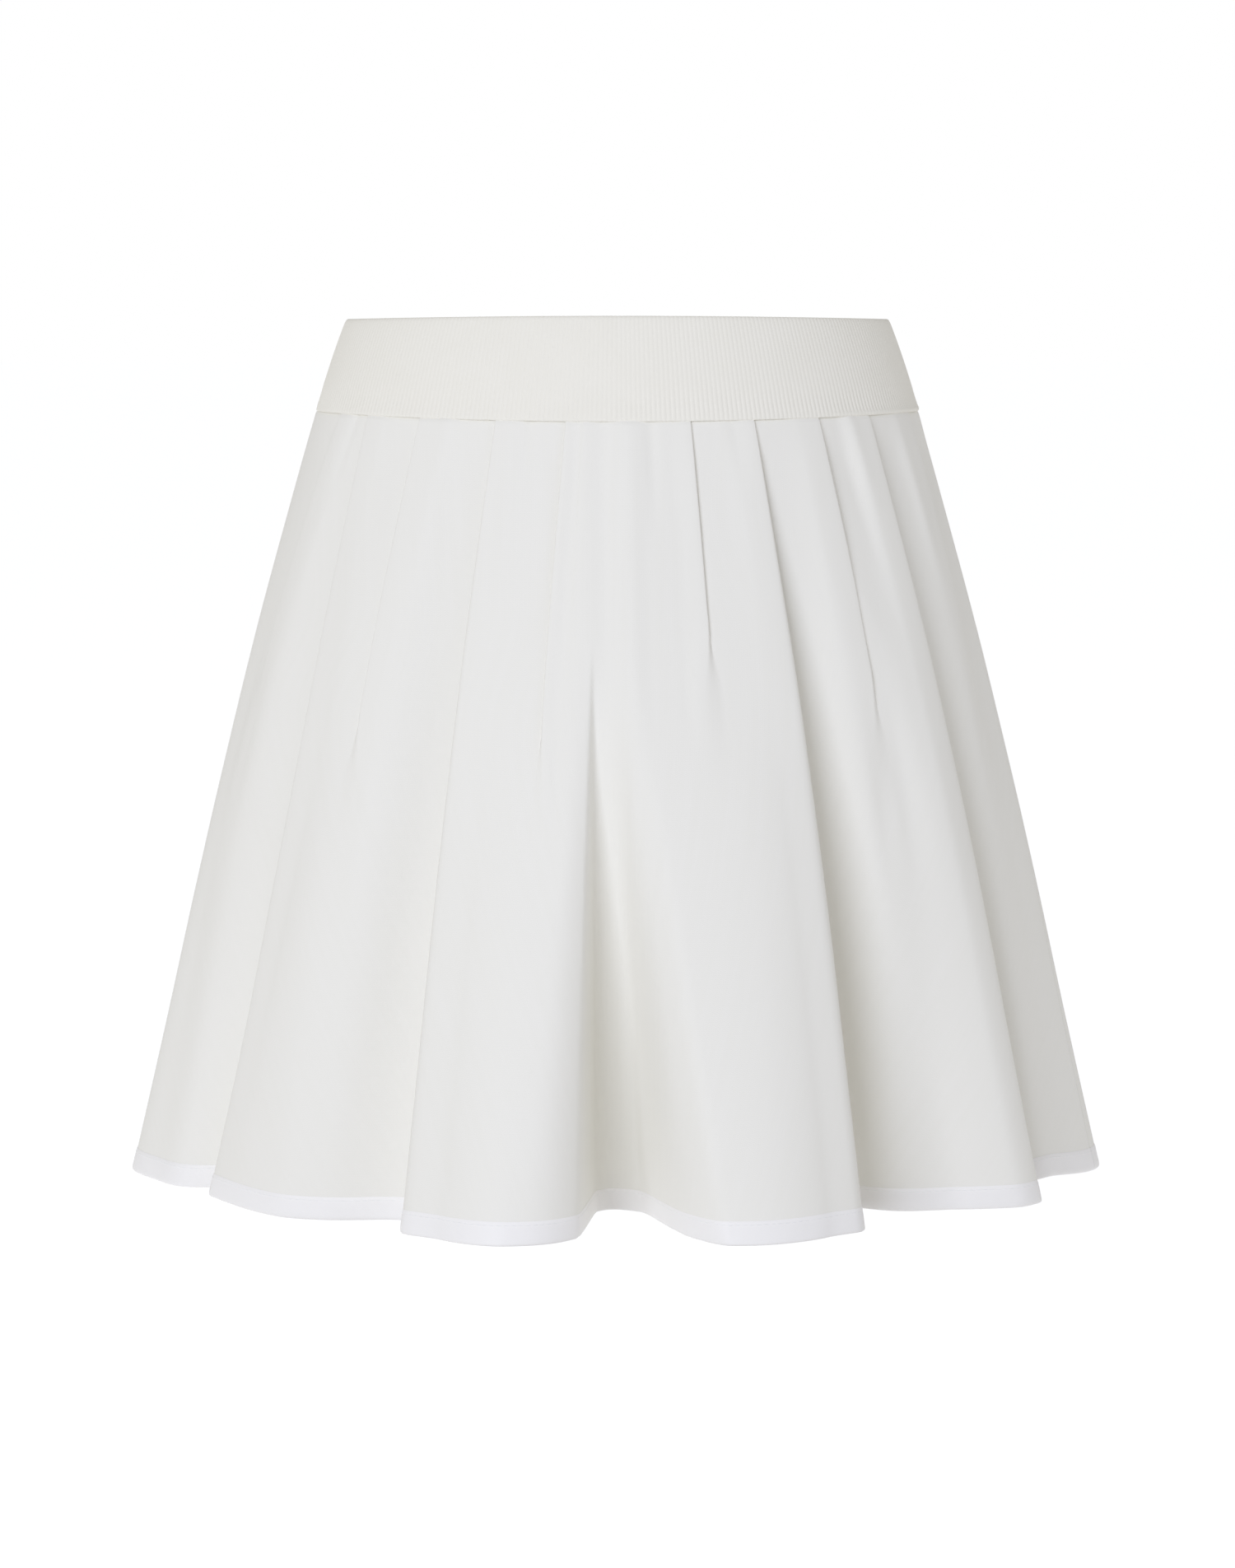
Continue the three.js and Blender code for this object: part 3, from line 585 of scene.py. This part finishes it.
surface = node(tree, "ShaderNodeBsdfPrincipled", {
    "Base Color": colour.outputs[0], "Roughness": 0.6, "IOR": 1.5,
    "Specular IOR Level": 0.4, "Sheen Weight": 0.05, "Normal": bump.outputs[0]})
node(tree, "ShaderNodeOutputMaterial", {"Surface": surface.outputs[0]})

for side in ("front", "back"):
    outside = [row[:2] for row in BINDING_SECTION]
    inside = [row[2:] for row in BINDING_SECTION]
    loops, uvs = [], []
    for path in (outside, inside):
        other_half = [(height, -reach) for height, reach in path[-2::-1]]
        way_round, along = binding_loops(side, path + other_half)
        heights = np.array([height for height, _ in path + other_half])
        loops.append(way_round)
        uvs.append(np.stack([along, np.repeat(heights[:, None], along.shape[1], 1)], -1))
    loops = np.concatenate([loops[0], loops[1][::-1]])
    uvs = np.concatenate([uvs[0], uvs[1][::-1]])
    binding = loft(f"{side}_binding", loops, uvs, closed_row=False)
    binding.data.materials.append(binding_knit)
    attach(binding, "root")
    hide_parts(f"hem_{side}")

# ---------------------------------------------------------------------------------------------
# Hem stitches.
# The sewing that holds the binding: a row of short stitches in the same white thread, pulled
# into a shallow groove, on the outside and the inside.

STITCH_PITCH = 3.2
STITCH_LENGTH = 2.5
THREAD = 0.34          # across
THREAD_AT = 0.66       # how far its middle lies out of the panel's middle

stitch_tree = bpy.data.node_groups.new("row_of_stitches", "GeometryNodeTree")
sockets = {}
for name, kind, value in (
    ("Geometry", "NodeSocketGeometry", None), ("Pitch", "NodeSocketFloat", STITCH_PITCH * MM),
    ("Stitch Length", "NodeSocketFloat", STITCH_LENGTH * MM),
    ("Thread", "NodeSocketFloat", THREAD * MM), ("Material", "NodeSocketMaterial", None),
):
    socket = stitch_tree.interface.new_socket(name, in_out="INPUT", socket_type=kind)
    if value is not None:
        socket.default_value = value
    sockets[name] = socket.identifier
stitch_tree.interface.new_socket("Geometry", in_out="OUTPUT", socket_type="NodeSocketGeometry")
given = node(stitch_tree, "NodeGroupInput")
line = node(stitch_tree, "GeometryNodeMeshToCurve", {"Mesh": given.outputs["Geometry"]})
spaced = node(stitch_tree, "GeometryNodeResampleCurve", {
    "Curve": line.outputs[0], "Length": given.outputs["Pitch"]}, mode="LENGTH")
facing = node(stitch_tree, "GeometryNodeInputTangent")
turned = node(stitch_tree, "FunctionNodeAlignEulerToVector", {"Vector": facing.outputs[0]},
              axis="Z")
thread = node(stitch_tree, "GeometryNodeMeshUVSphere", {
    "Segments": 6, "Rings": 5, "Radius": 0.5})
across = node(stitch_tree, "ShaderNodeCombineXYZ", {
    "X": given.outputs["Thread"], "Y": given.outputs["Thread"],
    "Z": given.outputs["Stitch Length"]})
shaped = node(stitch_tree, "GeometryNodeTransform", {
    "Geometry": thread.outputs[0], "Scale": across.outputs[0]})
rounded = node(stitch_tree, "GeometryNodeSetShadeSmooth", {"Geometry": shaped.outputs[0]})
placed = node(stitch_tree, "GeometryNodeInstanceOnPoints", {
    "Points": spaced.outputs[0], "Instance": rounded.outputs[0], "Rotation": turned.outputs[0]})
real = node(stitch_tree, "GeometryNodeRealizeInstances", {"Geometry": placed.outputs[0]})
coloured = node(stitch_tree, "GeometryNodeSetMaterial", {
    "Geometry": real.outputs[0], "Material": given.outputs["Material"]})
node(stitch_tree, "NodeGroupOutput", {0: coloured.outputs[0]})

# White polyester sewing thread with a soft twist.
sewing_thread, tree = new_material("white_polyester_thread")
place = node(tree, "ShaderNodeTexCoord")
twist = node(tree, "ShaderNodeTexNoise", {"Vector": place.outputs["Object"], "Scale": 4000.0})
bump = node(tree, "ShaderNodeBump", {
    "Strength": 0.3, "Distance": 0.00005, "Height": twist.outputs[0]})
surface = node(tree, "ShaderNodeBsdfPrincipled", {
    "Base Color": linear("#f4f4f2"), "Roughness": 0.5, "IOR": 1.57, "Normal": bump.outputs[0]})
node(tree, "ShaderNodeOutputMaterial", {"Surface": surface.outputs[0]})


def grown_mesh(name, source, group, settings):
    """Runs a node tree on a piece and keeps the result as a plain mesh piece."""
    grower = source.modifiers.new(group.name, "NODES")
    grower.node_group = group
    for identifier, value in settings.items():
        grower[identifier] = value
    result = source.evaluated_get(bpy.context.evaluated_depsgraph_get())
    mesh = bpy.data.meshes.new_from_object(result)
    mesh.name = name
    made = bpy.data.objects.new(name, mesh)
    bpy.context.collection.objects.link(made)
    bpy.data.objects.remove(source)
    return made


for side in ("front", "back"):
    lines, edges, first = [], [], 0
    for reach in (THREAD_AT, -THREAD_AT):
        sewn, _ = binding_loops(side, [(STITCH_LINE, reach)])
        lines.append(sewn[0])
        edges += [(i, i + 1) for i in range(first, first + len(sewn[0]) - 1)]
        first += len(sewn[0])
    mesh = bpy.data.meshes.new("sewing_line")
    mesh.from_pydata((np.concatenate(lines) * MM).tolist(), edges, [])
    source = bpy.data.objects.new("sewing_line", mesh)
    bpy.context.collection.objects.link(source)
    made = grown_mesh(f"{side}_hem_stitches", source, stitch_tree,
                      {sockets["Material"]: sewing_thread})
    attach(made, "root")

# ---------------------------------------------------------------------------------------------
# Waistband.
# A tube of fine rib knit, doubled over a wide elastic, with a rolled rim at the top. Below the
# elastic the rib runs on alone for a centimetre, where it is sewn to the pleated cloth.

RIBS = 352                # about 2 mm apart
RIB_POINTS = 6            # of the mesh across one rib
RIM_SIDE_DIP = 1.5        # the rim is this much lower at the sides
BAND_INSET = 0.9          # its middle surface lies this far inside the outline
# Its section from the rim down the outside and up the inside: drop as a share of the band's
# height, distance out of the middle surface, and the ribs' height there.
BAND_SECTION = [
    (0.0, 0.0, 0.10), (0.0, 0.45, 0.12), (0.008, 0.85, 0.15), (0.024, 1.1, 0.16),
    (0.05, 1.25, 0.17), (0.1, 1.32, 0.17), (0.18, 1.36, 0.17), (0.27, 1.38, 0.17),
    (0.36, 1.38, 0.17), (0.45, 1.38, 0.17), (0.54, 1.38, 0.17), (0.63, 1.36, 0.17),
    (0.70, 1.34, 0.19), (0.76, 1.24, 0.22), (0.80, 1.12, 0.26), (0.85, 1.06, 0.29),
    (0.90, 1.08, 0.30), (0.935, 1.12, 0.29), (0.955, 1.13, 0.28), (0.97, 1.12, 0.26),
    (0.985, 1.08, 0.24), (0.998, 1.02, 0.2), (1.003, 0.9, 0.1), (1.0055, 0.6, 0.04),
    (1.003, -0.4, 0.04), (0.99, -1.0, 0.12), (0.9, -1.25, 0.16), (0.75, -1.35, 0.16),
    (0.5, -1.38, 0.16), (0.25, -1.36, 0.16), (0.08, -1.25, 0.14), (0.02, -0.9, 0.12),
    (0.004, -0.45, 0.10),
]
# Over the last pleats before the right side the seam's cut edges push the lower edge out in a
# narrow roll: where round the band, in degrees from centre front, where on its height as a
# share, half how tall it is, and how far it comes out.
ROLL_FROM, ROLL_FULL, ROLL_FADES, ROLL_ENDS = 40, 50, 86, 92
ROLL_AT, ROLL_HEIGHT, ROLL_OUT = 0.972, 0.02, 0.55
RIBS_PRESSED = 0.8        # share of the ribs' height that the roll takes away
OUTLINE_STEPS = 20000     # of the walk round the band that spaces the ribs evenly

columns = RIBS * RIB_POINTS
around = np.linspace(0, 2 * math.pi, OUTLINE_STEPS + 1)
half_width, half_depth = outline(-WAIST_SEAM_DROP / 2)
passed = np.concatenate([[0], np.cumsum(np.hypot(
    np.diff(half_width * np.sin(around)), np.diff(half_depth * np.cos(around))))])
band_round = passed[-1]
even = np.arange(columns) / columns
angle = np.interp(even * band_round, passed, around)
side_rise = np.sin(angle) ** 2
loops, lifts = [], []
for share, out_by, rib in BAND_SECTION:
    rim_z = -RIM_SIDE_DIP * side_rise
    seam_z = -WAIST_SEAM_DROP + SEAM_SIDE_RISE * side_rise + SEAM_GAP
    z = mix(rim_z, seam_z, share)
    half_width, half_depth = outline(z)
    middle = np.stack([(half_width - BAND_INSET) * np.sin(angle),
                       -(half_depth - BAND_INSET) * np.cos(angle), z], -1)
    along_row = np.roll(middle, -1, 0) - np.roll(middle, 1, 0)
    out = np.stack([along_row[:, 1], -along_row[:, 0], np.zeros(columns)], -1)
    out /= np.linalg.norm(out, axis=-1, keepdims=True)
    turn = np.degrees(angle)
    rolled = smooth(turn, ROLL_FROM, ROLL_FULL) * (1 - smooth(turn, ROLL_FADES, ROLL_ENDS))
    rolled = rolled * math.exp(-((share - ROLL_AT) / ROLL_HEIGHT) ** 2) * (out_by > 0)
    loops.append(middle + out * (out_by + ROLL_OUT * rolled)[:, None])
    lifts.append(rib * (1 - RIBS_PRESSED * rolled))
loops, lifts = np.array(loops), np.array(lifts)
uvs = np.stack([np.repeat(even[None] * band_round, len(loops), 0), loops[..., 2]], -1)
band_form = loft("band_form", loops, uvs, closed_row=True)
height_attribute = band_form.data.attributes.new("rib_height", "FLOAT", "POINT")
height_attribute.data.foreach_set("value", lifts.ravel() * MM)
phase = band_form.data.attributes.new("rib_phase", "FLOAT", "POINT")
phase.data.foreach_set("value", np.tile(np.arange(columns) / RIB_POINTS % 1, len(loops)))

# The ribs: each stands out of the band along its normals with a rounded top and a narrow
# groove beside it.
rib_tree = bpy.data.node_groups.new("ribs", "GeometryNodeTree")
sockets = {}
for name, kind, value in (
    ("Geometry", "NodeSocketGeometry", None), ("Roundness", "NodeSocketFloat", 0.6),
    ("Material", "NodeSocketMaterial", None),
):
    socket = rib_tree.interface.new_socket(name, in_out="INPUT", socket_type=kind)
    if value is not None:
        socket.default_value = value
    sockets[name] = socket.identifier
rib_tree.interface.new_socket("Geometry", in_out="OUTPUT", socket_type="NodeSocketGeometry")
given = node(rib_tree, "NodeGroupInput")
phase = node(rib_tree, "GeometryNodeInputNamedAttribute", {"Name": "rib_phase"})
tall = node(rib_tree, "GeometryNodeInputNamedAttribute", {"Name": "rib_height"})
half_turn = node(rib_tree, "ShaderNodeMath", {0: phase.outputs[0], 1: math.pi},
                 operation="MULTIPLY")
wave = node(rib_tree, "ShaderNodeMath", {0: half_turn.outputs[0]}, operation="SINE")
profile = node(rib_tree, "ShaderNodeMath", {0: wave.outputs[0], 1: given.outputs["Roundness"]},
               operation="POWER")
lift = node(rib_tree, "ShaderNodeMath", {0: profile.outputs[0], 1: tall.outputs[0]},
            operation="MULTIPLY")
normal = node(rib_tree, "GeometryNodeInputNormal")
offset = node(rib_tree, "ShaderNodeVectorMath", {0: normal.outputs[0]}, operation="SCALE")
rib_tree.links.new(lift.outputs[0], offset.inputs["Scale"])
ribbed = node(rib_tree, "GeometryNodeSetPosition", {
    "Geometry": given.outputs["Geometry"], "Offset": offset.outputs[0]})
real = node(rib_tree, "GeometryNodeRealizeInstances", {"Geometry": ribbed.outputs[0]})
coloured = node(rib_tree, "GeometryNodeSetMaterial", {
    "Geometry": real.outputs[0], "Material": given.outputs["Material"]})
node(rib_tree, "NodeGroupOutput", {0: coloured.outputs[0]})

# Fine rib knit in the panels' ivory yarn. The stretched ribs read as faint upright lines.
RIB_GRAIN = (700, 1300, 1)    # stitches and, below, patches of colour in a metre, both ways
RIB_MOTTLE = (40, 60, 1)

rib_knit, tree = new_material("ivory_rib_knit")
place = node(tree, "ShaderNodeUVMap", uv_map="cloth")
rows = node(tree, "ShaderNodeTexNoise", {"Vector": node(
    tree, "ShaderNodeVectorMath", {0: place.outputs[0], 1: RIB_GRAIN},
    operation="MULTIPLY").outputs[0], "Scale": 1.0, "Detail": 1.0})
bump = node(tree, "ShaderNodeBump", {
    "Strength": 0.3, "Distance": 0.0001, "Height": rows.outputs[0]})
mottle = node(tree, "ShaderNodeTexNoise", {"Vector": node(
    tree, "ShaderNodeVectorMath", {0: place.outputs[0], 1: RIB_MOTTLE},
    operation="MULTIPLY").outputs[0], "Scale": 1.0})
colour = node(tree, "ShaderNodeMixRGB", {
    "Fac": mottle.outputs[0], "Color1": linear("#f1eee3"), "Color2": linear("#f4f1e7")})
surface = node(tree, "ShaderNodeBsdfPrincipled", {
    "Base Color": colour.outputs[0], "Roughness": 0.9, "IOR": 1.45,
    "Specular IOR Level": 0.25, "Sheen Weight": 0.12, "Sheen Roughness": 0.5,
    "Normal": bump.outputs[0]})
node(tree, "ShaderNodeOutputMaterial", {"Surface": surface.outputs[0]})

waistband = grown_mesh("waistband_rib", band_form, rib_tree, {sockets["Material"]: rib_knit})
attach(waistband, "root")
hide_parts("waistband")

# ---------------------------------------------------------------------------------------------
# Studio: a plain white floor that begins under the front of the skirt, so that little of its light
# reaches the folds from below, and runs back out of sight. Round it is a white surround, which is
# bright to look at and lights the skirt only weakly. Of two soft lights the stronger is on the
# left.

STAND = 0.62               # the skirt hangs with its rim this far above the floor
FLOOR_FRONT = -0.14        # the floor's front edge, and how far it runs back and to each side
FLOOR_BACK, FLOOR_SIDE = 60, 30
floor_mesh = bpy.data.meshes.new("studio_floor")
floor_mesh.from_pydata([
    (-FLOOR_SIDE, FLOOR_FRONT, -STAND), (FLOOR_SIDE, FLOOR_FRONT, -STAND),
    (FLOOR_SIDE, FLOOR_BACK, -STAND), (-FLOOR_SIDE, FLOOR_BACK, -STAND)], [], [(0, 1, 2, 3)])
floor = bpy.data.objects.new("studio_floor", floor_mesh)
bpy.context.collection.objects.link(floor)
floor_paint, tree = new_material("white_studio_floor")
surface = node(tree, "ShaderNodeBsdfPrincipled", {
    "Base Color": linear("#fbfbfc"), "Roughness": 0.9, "Specular IOR Level": 0.1,
    "Emission Color": (0.945, 0.967, 1, 1), "Emission Strength": 0.59})
node(tree, "ShaderNodeOutputMaterial", {"Surface": surface.outputs[0]})
floor.data.materials.append(floor_paint)

world = bpy.data.worlds.new("white_surround")
bpy.context.scene.world = world
world.use_nodes = True
world.node_tree.nodes.clear()
dim = node(world.node_tree, "ShaderNodeBackground", {
    "Color": (1.0, 0.978, 0.94, 1), "Strength": 0.455})
white = node(world.node_tree, "ShaderNodeBackground", {"Color": (1, 1, 1, 1), "Strength": 1.0})
seen = node(world.node_tree, "ShaderNodeLightPath")
surround = node(world.node_tree, "ShaderNodeMixShader", {
    0: seen.outputs["Is Camera Ray"], 1: dim.outputs[0], 2: white.outputs[0]})
node(world.node_tree, "ShaderNodeOutputWorld", {"Surface": surround.outputs[0]})


SKIRT_MIDDLE = (0, 0, -0.2)


def soft_light(name, place, size, watts, tint):
    """A square area light at a place, turned to the middle of the skirt."""
    light = bpy.data.lights.new(name, "AREA")
    light.size, light.energy, light.color = size, watts, tint
    lamp = bpy.data.objects.new(name, light)
    bpy.context.collection.objects.link(lamp)
    lamp.location = place
    aim = Vector(SKIRT_MIDDLE) - Vector(place)
    lamp.rotation_euler = aim.to_track_quat("-Z", "Y").to_euler()


soft_light("key_light", (-1.03, -2.68, 0.2), size=1.6, watts=46.0, tint=(0.81, 0.855, 0.995))
soft_light("fill_light", (2.43, -1.4, 0.55), size=1.6, watts=10.5, tint=(0.69, 0.755, 1.0))

bpy.context.scene.view_settings.view_transform = "Standard"

# The camera stands level with the rim, 2.2 m in front of it, and looks slightly down.
CAMERA_PLACE, CAMERA_AIM = (0, -2.2, 0), (0, 0, -0.2199)
VIEW_HEIGHT = 19.0133      # angle from the top of the view to its bottom, in degrees
camera_data = bpy.data.cameras.new("camera")
camera_data.sensor_fit = "VERTICAL"
camera_data.angle = math.radians(VIEW_HEIGHT)
camera = bpy.data.objects.new("camera", camera_data)
bpy.context.collection.objects.link(camera)
camera.location = CAMERA_PLACE
camera.rotation_euler = (Vector(CAMERA_AIM) - Vector(CAMERA_PLACE)).to_track_quat(
    "-Z", "Y").to_euler()
bpy.context.scene.camera = camera
